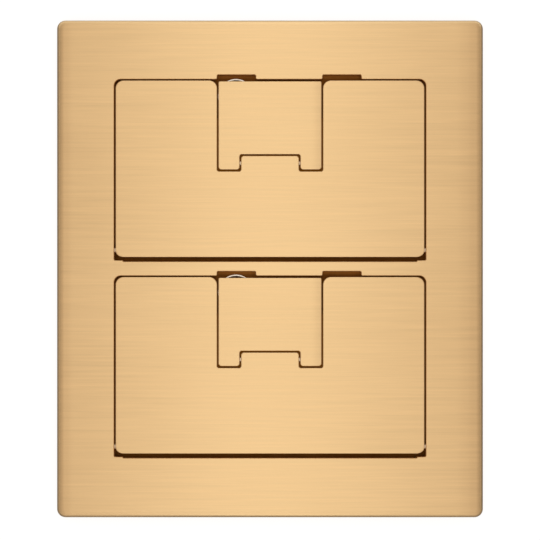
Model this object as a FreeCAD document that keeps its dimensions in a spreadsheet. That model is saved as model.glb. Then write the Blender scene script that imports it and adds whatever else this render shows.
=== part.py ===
import FreeCAD, Part
import math
import os

import Sketcher

# Floor box cover: a brass flange plate with two bays. A lid closes each bay and turns about two pins
# near the bay's lower wall. A cord door closes the cut-out in each lid and turns about an axle that
# crosses the lid's tongue. A support plate below carries the lids, the catches and the fixing holes.
#
# Millimetres. X runs along the hinges, Y from the lower bay to the upper one, Z up. The origin is at
# the middle of the underside. A bay's own pieces are drawn about the middle of that bay, and their
# Placement carries them to it.

SIZES = {
    # flange plate, as the borders around its bays
    "side_border": 20.5,
    "end_border": 21.1,
    "frame_thickness": 4.76,
    "plate_corner": 3.0,
    "rim_round": 2.6,
    # bays, with the relief along the hinge wall counted in their length
    "bay_width": 111.4,
    "bay_length": 65.4,
    "bay_bar": 4.8,
    "bay_upper_corner": 2.4,
    "bay_lower_corner": 0.5,
    "bay_ease": 0.2,
    "relief_depth": 0.65,
    "relief_inset": 3.2,
    "relief_round": 0.3,
    # finger notches in the upper wall of each bay, each set from a side of the lid's cut-out
    "notch_width": 13.8,
    "notch_depth": 1.6,
    "notch_corner": 0.5,
    "notch_mouth_round": 0.5,
    "door_notch_set": 6.9,
    "lid_notch_set": 6.8,
    # lids
    "lid_side_gap": 0.55,
    "lid_front_gap": 0.5,
    "lid_tail_gap": 1.5,
    "lid_corner": 2.8,
    "lid_tail": 2.8,
    "edge_ease": 0.25,
    "cutout_width": 37.8,
    "cutout_depth": 32.5,
    "cutout_corner": 0.8,
    "tongue_width": 20.7,
    "tongue_height": 5.3,
    "tongue_corner": 0.9,
    # cord doors
    "door_side_gap": 0.48,
    "door_front_set": 0.3,
    "prong_gap": 0.7,
    "door_notch_gap": 0.62,
    "door_setback": 3.0,
    "door_front_corner": 0.5,
    "prong_corner": 1.0,
    # hinges
    "hinge_depth": 1.9,
    "pin_diameter": 2.0,
    "pin_chamfer": 0.25,
    "pin_hold": 8.0,
    "pin_reach": 2.6,
    "axle_inset": 0.5,
    "running_clearance": 0.05,
    "end_clearance": 0.3,
    "seat_clearance": 0.02,
    # support plate
    "support_thickness": 3.0,
    "support_margin": 10.0,
    "support_corner": 4.0,
    "side_ledge": 5.0,
    "front_ledge": 3.0,
    "swing_clearance": 0.35,
    "window_corner": 1.0,
    "fixing_spacing_across": 100.0,
    "fixing_hole": 4.5,
    "fixing_head": 8.6,
    "fixing_tab_width": 12.0,
    "fixing_tab_edge": 5.6,
    # screws that hold the support plate to the frame
    "support_screw": 3.0,
    "support_screw_head": 5.6,
    "support_screw_length": 6.0,
    "tap_runout": 0.5,
    # gasket
    "gasket_inset": 1.2,
    "gasket_clearance": 1.0,
    # catches, each set from a side of the lid's cut-out
    "door_catch_set": 6.7,
    "lid_catch_set": 5.9,
    "cup_diameter": 12.2,
    "cup_height": 2.4,
    "cup_wall": 0.9,
    "cup_floor": 0.6,
    "magnet_set": 0.2,
    "catch_tab_wall": 1.4,
    "strike_diameter": 9.0,
    "strike_thickness": 1.0,
    # axle keepers
    "keeper_width": 19.0,
    "keeper_thickness": 1.2,
    "keeper_root": 8.0,
    "keeper_tip_set": 0.4,
    "keeper_corner": 1.5,
    "keeper_screw": 2.0,
    "keeper_screw_head": 3.8,
    "keeper_screw_length": 3.6,
    "keeper_screw_spacing": 12.0,
    "keeper_screw_setback": 4.5,
}

# Levels
SEAT = "sizes.support_thickness"
TOP = f"({SEAT} + sizes.frame_thickness)"
HINGE = f"({TOP} - sizes.hinge_depth)"
BORE = "(sizes.pin_diameter + 2 * sizes.running_clearance)"
PIN_SEAT = f"({HINGE} - {BORE} / 2)"
PRESS_BORE = "(sizes.pin_diameter + 2 * sizes.seat_clearance)"

# Plan of the cover, about its own middle
BAY_CENTRE = "((sizes.bay_length + sizes.bay_bar) / 2)"
BAYS_END = "(sizes.bay_length + sizes.bay_bar / 2)"
PLATE_SIDE = "(sizes.bay_width / 2 + sizes.side_border)"
PLATE_END = f"({BAYS_END} + sizes.end_border)"

# One bay, about its own middle
BAY_SIDE = "(sizes.bay_width / 2)"
BAY_FRONT = "(sizes.bay_length / 2)"
BAY_BACK = "(-sizes.bay_length / 2)"
RELIEF_ROUND = "min(sizes.relief_round; 0.45 * sizes.relief_depth)"
CATCH_LINE = f"({BAY_FRONT} - sizes.cup_diameter / 2)"

# One lid, in its bay
LID_SIDE = f"({BAY_SIDE} - sizes.lid_side_gap)"
LID_FRONT = f"({BAY_FRONT} - sizes.lid_front_gap)"
LID_BACK = f"({BAY_BACK} + sizes.lid_tail_gap)"
LID_AXIS = f"({LID_BACK} + sizes.lid_tail)"
CUTOUT_SIDE = "(sizes.cutout_width / 2)"
CUTOUT_BACK = f"({LID_FRONT} - sizes.cutout_depth)"
TONGUE_SIDE = "(sizes.tongue_width / 2)"
TONGUE_FRONT = f"({CUTOUT_BACK} + sizes.tongue_height)"

# One cord door, in its lid
DOOR_AXIS = f"({CUTOUT_BACK} + sizes.door_setback)"
DOOR_SIDE = f"({CUTOUT_SIDE} - sizes.door_side_gap)"
DOOR_FRONT = f"({LID_FRONT} - sizes.door_front_set)"
DOOR_BACK = f"({CUTOUT_BACK} + sizes.prong_gap)"
DOOR_NOTCH_SIDE = f"({TONGUE_SIDE} + sizes.door_side_gap)"
DOOR_NOTCH_FRONT = f"({TONGUE_FRONT} + sizes.door_notch_gap)"

# The trough under a lid's tail, which swings about the hinge line as the lid opens
TAIL_DROP = "(sizes.frame_thickness - sizes.hinge_depth)"
TAIL_REACH = f"sqrt(sizes.lid_tail ^ 2 + {TAIL_DROP} ^ 2)"
TROUGH_DEPTH = f"({TAIL_REACH} - {TAIL_DROP} + sizes.swing_clearance)"
TROUGH_FRONT = f"({LID_AXIS} + sizes.lid_tail + sizes.swing_clearance)"

# Support plate and its screws
SUPPORT_SIDE = f"({BAY_SIDE} + sizes.support_margin)"
SUPPORT_END = f"({BAYS_END} + sizes.support_margin)"
SCREW_COLUMN = f"({BAY_SIDE} + sizes.support_margin / 2)"
SCREW_END_ROW = f"({SUPPORT_END} - sizes.support_margin / 2)"
SCREW_ROWS = 4

# How near two places are to count as one when edges are picked
HAIR = 0.001

BAYS = {"upper": BAY_CENTRE, "lower": f"(-{BAY_CENTRE})"}
NOTCHES = {"door": f"(sizes.door_notch_set - {CUTOUT_SIDE})", "lid": f"({CUTOUT_SIDE} + sizes.lid_notch_set)"}
CATCHES = {"door": f"(sizes.door_catch_set - {CUTOUT_SIDE})", "lid": f"({CUTOUT_SIDE} + sizes.lid_catch_set)"}

doc = FreeCAD.newDocument("floor_box_cover")
sheet = doc.addObject("Spreadsheet::Sheet", "sizes")
for row, (alias, number) in enumerate(SIZES.items(), start=1):
    sheet.set(f"A{row}", alias)
    sheet.set(f"B{row}", str(number))
    sheet.setAlias(f"B{row}", alias)
doc.recompute()


def value(text):
    """The number that an expression on the sheet's cells gives."""
    return float(sheet.evalExpression(text))


def minus(text):
    """The same expression on the other side of the middle."""
    return f"(-{text})"


def shifted(text, bay):
    """A place along Y in a bay, given about the cover's own middle."""
    return f"({BAYS[bay]} + {text})"


def new_body(label, bay=None):
    """A body, placed at the middle of its bay when it belongs to one."""
    body = doc.addObject("PartDesign::Body", label)
    body.Label = label
    if bay:
        body.setExpression("Placement.Base.y", BAYS[bay])
    return body


def new_sketch(body, name, role="XY_Plane", offset="0"):
    """A sketch on one of the body's origin planes, moved along the plane's normal."""
    plane = next(item for item in body.Origin.OriginFeatures if item.Role == role)
    sketch = body.newObject("Sketcher::SketchObject", name)
    sketch.AttachmentSupport = [(plane, "")]
    sketch.MapMode = "FlatFace"
    sketch.setExpression("AttachmentOffset.Base.z", offset)
    return sketch


def constrain(sketch, text, *where):
    """Adds a dimension to a sketch and binds it to an expression."""
    index = sketch.addConstraint(Sketcher.Constraint(*where, value(text)))
    sketch.setExpression(f"Constraints[{index}]", text)


def draw_outline(sketch, corners):
    """Draws a closed outline whose sides run along the sketch's axes, through the given corners."""
    points = [FreeCAD.Vector(value(x), value(y), 0) for x, y in corners]
    ends = points[1:] + points[:1]
    lines = [sketch.addGeometry(Part.LineSegment(a, b), False) for a, b in zip(points, ends)]
    following = lines[1:] + lines[:1]
    next_corners = corners[1:] + corners[:1]
    for line, after in zip(lines, following):
        sketch.addConstraint(Sketcher.Constraint("Coincident", line, 2, after, 1))
    for line, (x, y), (next_x, _) in zip(lines, corners, next_corners):
        if x == next_x:
            sketch.addConstraint(Sketcher.Constraint("Vertical", line))
            constrain(sketch, x, "DistanceX", -1, 1, line, 1)
        else:
            sketch.addConstraint(Sketcher.Constraint("Horizontal", line))
            constrain(sketch, y, "DistanceY", -1, 1, line, 1)


def draw_rectangle(sketch, left, right, low, high):
    """Draws a rectangle between four places on the sketch's axes."""
    draw_outline(sketch, [(left, low), (right, low), (right, high), (left, high)])


def draw_circle(sketch, x, y, diameter):
    """Draws a circle with its centre at a place on the sketch's axes."""
    centre = FreeCAD.Vector(value(x), value(y), 0)
    circle = Part.Circle(centre, FreeCAD.Vector(0, 0, 1), value(diameter) / 2)
    index = sketch.addGeometry(circle, False)
    constrain(sketch, x, "DistanceX", -1, 1, index, 3)
    constrain(sketch, y, "DistanceY", -1, 1, index, 3)
    constrain(sketch, diameter, "Diameter", index)


def draw_arch(sketch, x, crown_centre, diameter, foot):
    """Draws a slot open below: straight sides up from the foot, and a round crown."""
    centre = FreeCAD.Vector(value(x), value(crown_centre), 0)
    radius = value(diameter) / 2
    base = value(foot)
    right = centre.x + radius
    left = centre.x - radius
    crown = Part.Circle(centre, FreeCAD.Vector(0, 0, 1), radius)
    geometry = [
        Part.LineSegment(FreeCAD.Vector(left, base, 0), FreeCAD.Vector(right, base, 0)),
        Part.LineSegment(FreeCAD.Vector(right, base, 0), FreeCAD.Vector(right, centre.y, 0)),
        Part.ArcOfCircle(crown, 0, math.pi),
        Part.LineSegment(FreeCAD.Vector(left, centre.y, 0), FreeCAD.Vector(left, base, 0)),
    ]
    floor, rise, arc, fall = [sketch.addGeometry(item, False) for item in geometry]
    sketch.addConstraint(Sketcher.Constraint("Coincident", floor, 2, rise, 1))
    sketch.addConstraint(Sketcher.Constraint("Coincident", fall, 2, floor, 1))
    sketch.addConstraint(Sketcher.Constraint("Tangent", rise, 2, arc, 1))
    sketch.addConstraint(Sketcher.Constraint("Tangent", arc, 2, fall, 1))
    sketch.addConstraint(Sketcher.Constraint("Horizontal", floor))
    sketch.addConstraint(Sketcher.Constraint("Vertical", rise))
    constrain(sketch, x, "DistanceX", -1, 1, arc, 3)
    constrain(sketch, crown_centre, "DistanceY", -1, 1, arc, 3)
    constrain(sketch, foot, "DistanceY", -1, 1, floor, 1)
    constrain(sketch, diameter, "Diameter", arc)


def settle():
    """Recomputes, and stops where an object of the document has failed."""
    doc.recompute()
    failed = [item.Name for item in doc.Objects if {"Invalid", "Error"} & set(item.State)]
    if failed:
        raise RuntimeError(f"failed: {failed}")


def add_pad(body, sketch, length, middle=False):
    """Adds the sketch's profile as a solid along its normal, or half to each side of its plane."""
    pad = body.newObject("PartDesign::Pad", f"{sketch.Name}_pad")
    pad.Profile = sketch
    pad.SideType = "Symmetric" if middle else "One side"
    pad.setExpression("Length", length)
    settle()
    return pad


def cut_pocket(body, sketch, depth, along_normal=False, middle=False):
    """Cuts the sketch's profile, and stops where that takes nothing away."""
    before = body.Shape.Volume
    pocket = body.newObject("PartDesign::Pocket", f"{sketch.Name}_pocket")
    pocket.Profile = sketch
    pocket.SideType = "Symmetric" if middle else "One side"
    pocket.Reversed = along_normal
    pocket.setExpression("Length", depth)
    settle()
    if body.Shape.Volume > before - 0.001:
        raise RuntimeError(f"{sketch.Name} cuts nothing")
    return pocket


def cut_countersunk(body, sketch, hole, head, along_normal=False):
    """Drills through holes with a right-angled countersink at the circles of a sketch."""
    drilled = body.newObject("PartDesign::Hole", f"{sketch.Name}_hole")
    drilled.Profile = sketch
    drilled.Reversed = along_normal
    drilled.DepthType = "ThroughAll"
    drilled.HoleCutType = "Countersink"
    drilled.HoleCutCustomValues = True
    drilled.HoleCutCountersinkAngle = 90
    drilled.setExpression("Diameter", hole)
    drilled.setExpression("HoleCutDiameter", head)
    settle()
    return drilled


def mirror_across(body, feature):
    """Repeats a feature on the other side of the YZ plane."""
    plane = next(item for item in body.Origin.OriginFeatures if item.Role == "YZ_Plane")
    mirrored = body.newObject("PartDesign::Mirrored", f"{feature.Name}_mirrored")
    mirrored.Originals = [feature]
    mirrored.MirrorPlane = (plane, [""])
    body.Tip = mirrored
    settle()
    return mirrored


def edges_where(body, test):
    """Names the edges of the body's last feature whose bounding box passes a test."""
    edges = enumerate(body.Tip.Shape.Edges, start=1)
    return [f"Edge{number}" for number, edge in edges if test(edge.BoundBox)]


def upright_edges(body, places):
    """Names the vertical edges that stand at the given places in the body's own XY plane."""
    wanted = [(value(x), value(y)) for x, y in places]

    def stands_at_one(box):
        thin = box.XLength < HAIR and box.YLength < HAIR
        return thin and any(abs(box.XMin - x) < HAIR and abs(box.YMin - y) < HAIR for x, y in wanted)

    return edges_where(body, stands_at_one)


def level_edges(body, height, keep=lambda box: True):
    """Names the edges that lie wholly at a height and whose bounding box passes a test."""
    level = value(height)
    return edges_where(body, lambda box: box.ZLength < HAIR and abs(box.ZMin - level) < HAIR and keep(box))


def end_edges(body):
    """Names the rims of the ends of pins that lie along X."""
    return edges_where(body, lambda box: box.XLength < HAIR)


def round_edges(body, name, edges, radius):
    """Fillets edges of the body's last feature."""
    fillet = body.newObject("PartDesign::Fillet", name)
    fillet.Base = (body.Group[-2], edges)
    fillet.setExpression("Radius", radius)
    settle()
    return fillet


def chamfer_edges(body, name, edges, size):
    """Chamfers edges of the body's last feature."""
    chamfer = body.newObject("PartDesign::Chamfer", name)
    chamfer.Base = (body.Group[-2], edges)
    chamfer.setExpression("Size", size)
    settle()
    return chamfer


def rectangle_corners(side, end):
    """The four corners of a rectangle about the middle."""
    return [(minus(side), minus(end)), (side, minus(end)), (side, end), (minus(side), end)]


def support_screw_places():
    """Where the screws of the support plate stand: a column at each side, in even rows."""
    rows = [f"({SCREW_END_ROW} * {2 * row / (SCREW_ROWS - 1) - 1})" for row in range(SCREW_ROWS)]
    return [(side, row) for side in (SCREW_COLUMN, minus(SCREW_COLUMN)) for row in rows]


def span(middle, width):
    """The two sides of something that wide about its middle."""
    return f"({middle} - {width} / 2)", f"({middle} + {width} / 2)"


def bay_outline(bay):
    """One bay's corners, from its lower left, by the relief, the side walls and both finger notches."""
    front = shifted(BAY_FRONT, bay)
    back = shifted(BAY_BACK, bay)
    shoulder = shifted(f"({BAY_BACK} + sizes.relief_depth)", bay)
    deep = shifted(f"({BAY_FRONT} + sizes.notch_depth)", bay)
    relief = f"({BAY_SIDE} - sizes.relief_inset)"
    door_left, door_right = span(NOTCHES["door"], "sizes.notch_width")
    lid_left, lid_right = span(NOTCHES["lid"], "sizes.notch_width")
    return [
        (minus(BAY_SIDE), shoulder),
        (minus(relief), shoulder),
        (minus(relief), back),
        (relief, back),
        (relief, shoulder),
        (BAY_SIDE, shoulder),
        (BAY_SIDE, front),
        (lid_right, front),
        (lid_right, deep),
        (lid_left, deep),
        (lid_left, front),
        (door_right, front),
        (door_right, deep),
        (door_left, deep),
        (door_left, front),
        (minus(BAY_SIDE), front),
    ]


def build_frame():
    """The flange plate: rounded rim, two bays, pin slots open below and blind tapped holes."""
    body = new_body("frame")
    profile = new_sketch(body, "frame_outline", offset=SEAT)
    plate = rectangle_corners(PLATE_SIDE, PLATE_END)
    draw_outline(profile, plate)
    outlines = {bay: bay_outline(bay) for bay in BAYS}
    for outline in outlines.values():
        draw_outline(profile, outline)
    add_pad(body, profile, "sizes.frame_thickness")

    round_edges(body, "plate_corners", upright_edges(body, plate), "sizes.plate_corner")
    upper_corners = [outline[index] for outline in outlines.values() for index in (6, 15)]
    round_edges(body, "bay_upper_corners", upright_edges(body, upper_corners), "sizes.bay_upper_corner")
    lower_corners = [outline[index] for outline in outlines.values() for index in (0, 5)]
    round_edges(body, "bay_lower_corners", upright_edges(body, lower_corners), "sizes.bay_lower_corner")
    relief_ends = [outline[index] for outline in outlines.values() for index in (1, 2, 3, 4)]
    round_edges(body, "relief_ends", upright_edges(body, relief_ends), RELIEF_ROUND)
    notch_corners = [outline[index] for outline in outlines.values() for index in (8, 9, 12, 13)]
    round_edges(body, "notch_corners", upright_edges(body, notch_corners), "sizes.notch_corner")
    notch_mouths = [outline[index] for outline in outlines.values() for index in (7, 10, 11, 14)]
    round_edges(body, "notch_mouths", upright_edges(body, notch_mouths), "sizes.notch_mouth_round")

    bays_side = value(BAY_SIDE) + HAIR
    bays_end = value(f"{BAYS_END} + sizes.notch_depth") + HAIR

    def past_bays(box):
        return max(box.XMax, -box.XMin) > bays_side or max(box.YMax, -box.YMin) > bays_end

    round_edges(body, "rim", level_edges(body, TOP, past_bays), "sizes.rim_round")
    bay_edges = level_edges(body, TOP, lambda box: not past_bays(box))
    chamfer_edges(body, "bay_edges", bay_edges, "sizes.bay_ease")

    slots = new_sketch(body, "pin_slots", "YZ_Plane", BAY_SIDE)
    for bay in BAYS:
        draw_arch(slots, shifted(LID_AXIS, bay), HINGE, BORE, SEAT)
    slot_cut = cut_pocket(body, slots, "(sizes.pin_reach + sizes.end_clearance)", along_normal=True)
    mirror_across(body, slot_cut)

    taps = new_sketch(body, "tapped_holes", offset=SEAT)
    for x, y in support_screw_places():
        draw_circle(taps, x, y, "(sizes.support_screw + 2 * sizes.seat_clearance)")
    tap_depth = "(sizes.support_screw_length - sizes.support_thickness + sizes.tap_runout)"
    cut_pocket(body, taps, tap_depth, along_normal=True)
    return body


def window_outline(bay):
    """One window of the support plate, inside its ledges, fixing tabs and catch tabs."""
    back = shifted(TROUGH_FRONT, bay)
    front = shifted(f"({BAY_FRONT} - sizes.front_ledge)", bay)
    tip = shifted(f"({BAY_FRONT} - sizes.cup_diameter - sizes.catch_tab_wall)", bay)
    ledge = f"({BAY_SIDE} - sizes.side_ledge)"
    tab = "(sizes.fixing_spacing_across / 2 - sizes.fixing_tab_edge)"
    tab_low, tab_high = span(BAYS[bay], "sizes.fixing_tab_width")
    catch_tab = "(sizes.cup_diameter + 2 * sizes.catch_tab_wall)"
    door_left, door_right = span(CATCHES["door"], catch_tab)
    lid_left, lid_right = span(CATCHES["lid"], catch_tab)
    return [
        (minus(ledge), back),
        (ledge, back),
        (ledge, tab_low),
        (tab, tab_low),
        (tab, tab_high),
        (ledge, tab_high),
        (ledge, front),
        (lid_right, front),
        (lid_right, tip),
        (lid_left, tip),
        (lid_left, front),
        (door_right, front),
        (door_right, tip),
        (door_left, tip),
        (door_left, front),
        (minus(ledge), front),
        (minus(ledge), tab_high),
        (minus(tab), tab_high),
        (minus(tab), tab_low),
        (minus(ledge), tab_low),
    ]


def build_support_plate():
    """The plate below: windows, ledges, tabs, troughs, pin rests, catch pockets and both sets of holes."""
    body = new_body("support_plate")
    profile = new_sketch(body, "support_outline")
    plate = rectangle_corners(SUPPORT_SIDE, SUPPORT_END)
    draw_outline(profile, plate)
    windows = [window_outline(bay) for bay in BAYS]
    for outline in windows:
        draw_outline(profile, outline)
    add_pad(body, profile, SEAT)
    round_edges(body, "support_corners", upright_edges(body, plate), "sizes.support_corner")
    corners = [corner for outline in windows for corner in outline]
    round_edges(body, "window_corners", upright_edges(body, corners), "sizes.window_corner")

    troughs = new_sketch(body, "tail_troughs", offset=SEAT)
    for bay in BAYS:
        back = shifted(BAY_BACK, bay)
        front = shifted(TROUGH_FRONT, bay)
        draw_rectangle(troughs, minus(BAY_SIDE), BAY_SIDE, back, front)
    cut_pocket(body, troughs, TROUGH_DEPTH)

    rests = new_sketch(body, "pin_rests", "YZ_Plane", BAY_SIDE)
    for bay in BAYS:
        axis = shifted(LID_AXIS, bay)
        half = f"({BORE} / 2 - sizes.running_clearance)"
        draw_rectangle(rests, f"({axis} - {half})", f"({axis} + {half})", f"({SEAT} - sizes.pin_diameter / 2)", PIN_SEAT)
    mirror_across(body, add_pad(body, rests, "sizes.pin_reach"))

    pockets = new_sketch(body, "catch_pockets", offset=SEAT)
    for bay in BAYS:
        for offset in CATCHES.values():
            draw_circle(pockets, offset, shifted(CATCH_LINE, bay), "(sizes.cup_diameter + 2 * sizes.seat_clearance)")
    cut_pocket(body, pockets, "sizes.cup_height")

    screws = new_sketch(body, "support_screw_holes")
    for x, y in support_screw_places():
        draw_circle(screws, x, y, "sizes.support_screw_head")
    cut_countersunk(body, screws, "(sizes.support_screw + 2 * sizes.seat_clearance)",
                    "(sizes.support_screw_head + 2 * sizes.seat_clearance)", along_normal=True)

    fixings = new_sketch(body, "fixing_holes", offset=SEAT)
    for bay in BAYS:
        for side in ("(sizes.fixing_spacing_across / 2)", "(-sizes.fixing_spacing_across / 2)"):
            draw_circle(fixings, side, BAYS[bay], "sizes.fixing_head")
    cut_countersunk(body, fixings, "sizes.fixing_hole", "sizes.fixing_head")
    return body


def build_gasket():
    """The rubber ring under the flange, as thick as the support plate that it surrounds."""
    body = new_body("flange_gasket")
    profile = new_sketch(body, "gasket_outline")
    outer = rectangle_corners(f"({PLATE_SIDE} - sizes.gasket_inset)", f"({PLATE_END} - sizes.gasket_inset)")
    inner = rectangle_corners(f"({SUPPORT_SIDE} + sizes.gasket_clearance)",
                              f"({SUPPORT_END} + sizes.gasket_clearance)")
    draw_outline(profile, outer)
    draw_outline(profile, inner)
    add_pad(body, profile, SEAT)
    round_edges(body, "gasket_outer_corners", upright_edges(body, outer), "sizes.plate_corner")
    round_edges(body, "gasket_inner_corners", upright_edges(body, inner), "sizes.support_corner")
    return body


def build_screws(label, bay, places, shank, head, length, under):
    """Countersunk screws with their heads flush at the level below, as separate solids in one body."""
    body = new_body(label, bay)
    body.AllowCompound = True
    shanks = new_sketch(body, f"{label}_shanks", offset=under)
    for x, y in places:
        draw_circle(shanks, x, y, shank)
    add_pad(body, shanks, length)
    heads = new_sketch(body, f"{label}_heads", offset=under)
    for x, y in places:
        draw_circle(heads, x, y, head)
    cone = add_pad(body, heads, f"(({head} - {shank}) / 2)")
    cone.TaperAngle = -45
    settle()
    return body


def build_lid(bay):
    """A lid with its cut-out and tongue, pin bores, axle slot, strike pocket and keeper screw holes."""
    body = new_body(f"{bay}_lid", bay)
    outline = [
        (minus(LID_SIDE), LID_BACK),
        (LID_SIDE, LID_BACK),
        (LID_SIDE, LID_FRONT),
        (CUTOUT_SIDE, LID_FRONT),
        (CUTOUT_SIDE, CUTOUT_BACK),
        (TONGUE_SIDE, CUTOUT_BACK),
        (TONGUE_SIDE, TONGUE_FRONT),
        (minus(TONGUE_SIDE), TONGUE_FRONT),
        (minus(TONGUE_SIDE), CUTOUT_BACK),
        (minus(CUTOUT_SIDE), CUTOUT_BACK),
        (minus(CUTOUT_SIDE), LID_FRONT),
        (minus(LID_SIDE), LID_FRONT),
    ]
    profile = new_sketch(body, f"{bay}_lid_outline", offset=SEAT)
    draw_outline(profile, outline)
    add_pad(body, profile, "sizes.frame_thickness")
    outer = [outline[index] for index in (0, 1, 2, 3, 10, 11)]
    round_edges(body, f"{bay}_lid_corners", upright_edges(body, outer), "sizes.lid_corner")
    inner = [outline[index] for index in (4, 5, 8, 9)]
    round_edges(body, f"{bay}_cutout_corners", upright_edges(body, inner), "sizes.cutout_corner")
    tongue = [outline[index] for index in (6, 7)]
    round_edges(body, f"{bay}_tongue_corners", upright_edges(body, tongue), "sizes.tongue_corner")
    round_edges(body, f"{bay}_lid_ease", level_edges(body, TOP), "sizes.edge_ease")

    bores = new_sketch(body, f"{bay}_pin_bores", "YZ_Plane", LID_SIDE)
    draw_circle(bores, LID_AXIS, HINGE, PRESS_BORE)
    mirror_across(body, cut_pocket(body, bores, "sizes.pin_hold"))

    slot = new_sketch(body, f"{bay}_axle_slot", "YZ_Plane")
    draw_arch(slot, DOOR_AXIS, HINGE, BORE, SEAT)
    cut_pocket(body, slot, "sizes.cutout_width", middle=True)

    strike = new_sketch(body, f"{bay}_lid_strike_pocket", offset=SEAT)
    draw_circle(strike, CATCHES["lid"], CATCH_LINE, "(sizes.strike_diameter + 2 * sizes.seat_clearance)")
    cut_pocket(body, strike, "sizes.strike_thickness", along_normal=True)

    taps = new_sketch(body, f"{bay}_keeper_taps", offset=SEAT)
    for x, y in keeper_screw_places():
        draw_circle(taps, x, y, "(sizes.keeper_screw + 2 * sizes.seat_clearance)")
    tap_depth = "(sizes.keeper_screw_length - sizes.keeper_thickness + sizes.tap_runout)"
    cut_pocket(body, taps, tap_depth, along_normal=True)
    return body


def build_door(bay):
    """A cord door with two prongs beside a notch, an axle bore and a strike pocket."""
    body = new_body(f"{bay}_cord_door", bay)
    outline = [
        (minus(DOOR_SIDE), DOOR_BACK),
        (minus(DOOR_NOTCH_SIDE), DOOR_BACK),
        (minus(DOOR_NOTCH_SIDE), DOOR_NOTCH_FRONT),
        (DOOR_NOTCH_SIDE, DOOR_NOTCH_FRONT),
        (DOOR_NOTCH_SIDE, DOOR_BACK),
        (DOOR_SIDE, DOOR_BACK),
        (DOOR_SIDE, DOOR_FRONT),
        (minus(DOOR_SIDE), DOOR_FRONT),
    ]
    profile = new_sketch(body, f"{bay}_door_outline", offset=SEAT)
    draw_outline(profile, outline)
    add_pad(body, profile, "sizes.frame_thickness")
    prongs = [outline[index] for index in (0, 1, 4, 5)]
    round_edges(body, f"{bay}_prong_corners", upright_edges(body, prongs), "sizes.prong_corner")
    inner = [outline[index] for index in (2, 3)]
    round_edges(body, f"{bay}_door_notch_corners", upright_edges(body, inner), "sizes.cutout_corner")
    front = [outline[index] for index in (6, 7)]
    round_edges(body, f"{bay}_door_front_corners", upright_edges(body, front), "sizes.door_front_corner")
    round_edges(body, f"{bay}_door_ease", level_edges(body, TOP), "sizes.edge_ease")

    bore = new_sketch(body, f"{bay}_axle_bore", "YZ_Plane")
    draw_circle(bore, DOOR_AXIS, HINGE, PRESS_BORE)
    cut_pocket(body, bore, "sizes.cutout_width", middle=True)

    strike = new_sketch(body, f"{bay}_door_strike_pocket", offset=SEAT)
    draw_circle(strike, CATCHES["door"], CATCH_LINE, "(sizes.strike_diameter + 2 * sizes.seat_clearance)")
    cut_pocket(body, strike, "sizes.strike_thickness", along_normal=True)
    return body


def build_lid_pins(bay):
    """The lid's two hinge pins: held in the lid's sides, reaching into the slots of the frame."""
    body = new_body(f"{bay}_lid_pins", bay)
    body.AllowCompound = True
    profile = new_sketch(body, f"{bay}_lid_pin", "YZ_Plane", f"({LID_SIDE} - sizes.pin_hold)")
    draw_circle(profile, LID_AXIS, HINGE, "sizes.pin_diameter")
    pin = add_pad(body, profile, "(sizes.pin_hold + sizes.lid_side_gap + sizes.pin_reach)")
    mirror_across(body, pin)
    chamfer_edges(body, f"{bay}_pin_ends", end_edges(body), "sizes.pin_chamfer")
    return body


def build_axle(bay):
    """The cord door's axle, across both prongs and the tongue between them."""
    body = new_body(f"{bay}_door_axle", bay)
    profile = new_sketch(body, f"{bay}_axle_section", "YZ_Plane")
    draw_circle(profile, DOOR_AXIS, HINGE, "sizes.pin_diameter")
    add_pad(body, profile, f"(2 * ({DOOR_SIDE} - sizes.axle_inset))", middle=True)
    chamfer_edges(body, f"{bay}_axle_ends", end_edges(body), "sizes.pin_chamfer")
    return body


def keeper_screw_places():
    """Where the two screws of an axle keeper stand."""
    line = f"({CUTOUT_BACK} - sizes.keeper_screw_setback)"
    return [("(-sizes.keeper_screw_spacing / 2)", line), ("(sizes.keeper_screw_spacing / 2)", line)]


def build_keeper(bay):
    """The plate under the tongue whose rib fills the slot below the axle."""
    body = new_body(f"{bay}_axle_keeper", bay)
    side = "(sizes.keeper_width / 2)"
    back = f"({CUTOUT_BACK} - sizes.keeper_root)"
    tip = f"({TONGUE_FRONT} - sizes.keeper_tip_set)"
    under = f"({SEAT} - sizes.keeper_thickness)"
    plate = new_sketch(body, f"{bay}_keeper_plate", offset=under)
    outline = [(minus(side), back), (side, back), (side, tip), (minus(side), tip)]
    draw_outline(plate, outline)
    add_pad(body, plate, "sizes.keeper_thickness")
    round_edges(body, f"{bay}_keeper_corners", upright_edges(body, outline), "sizes.keeper_corner")

    rib = new_sketch(body, f"{bay}_keeper_rib", offset=SEAT)
    half = f"({BORE} / 2 - sizes.seat_clearance)"
    draw_rectangle(rib, minus(side), side, f"({DOOR_AXIS} - {half})", f"({DOOR_AXIS} + {half})")
    add_pad(body, rib, f"({PIN_SEAT} - {SEAT})")

    holes = new_sketch(body, f"{bay}_keeper_holes", offset=under)
    for x, y in keeper_screw_places():
        draw_circle(holes, x, y, "sizes.keeper_screw_head")
    cut_countersunk(body, holes, "(sizes.keeper_screw + 2 * sizes.seat_clearance)",
                    "(sizes.keeper_screw_head + 2 * sizes.seat_clearance)", along_normal=True)
    return body


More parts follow.
